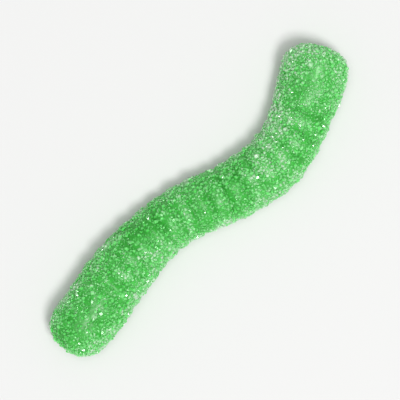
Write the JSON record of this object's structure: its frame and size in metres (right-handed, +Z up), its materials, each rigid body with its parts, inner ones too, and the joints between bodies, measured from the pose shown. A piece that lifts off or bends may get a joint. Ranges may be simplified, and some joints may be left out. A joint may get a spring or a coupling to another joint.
{
  "type": "gummy worm",
  "caption": "Sour gummy worm lying in a gentle S curve, with a ribbed domed top, smooth rounded ends, a flat moulded back and a coat of white sugar crystals.",
  "frame": {"origin": "under the middle of the worm's box, on the surface that the worm lies on", "axes": "+Z up, away from the flat back; +Y towards the head's end in plan, +X to the right"},
  "size_m": [0.0428, 0.0451, 0.0087],
  "materials": {
    "green_gel": "soft translucent green gel, frosted by its coat of sugar",
    "sour_sugar": "white translucent sugar crystals with glinting faces"
  },
  "bodies": {
    "root": {"gummy_worm": "green_gel"}
  },
  "joints": []
}
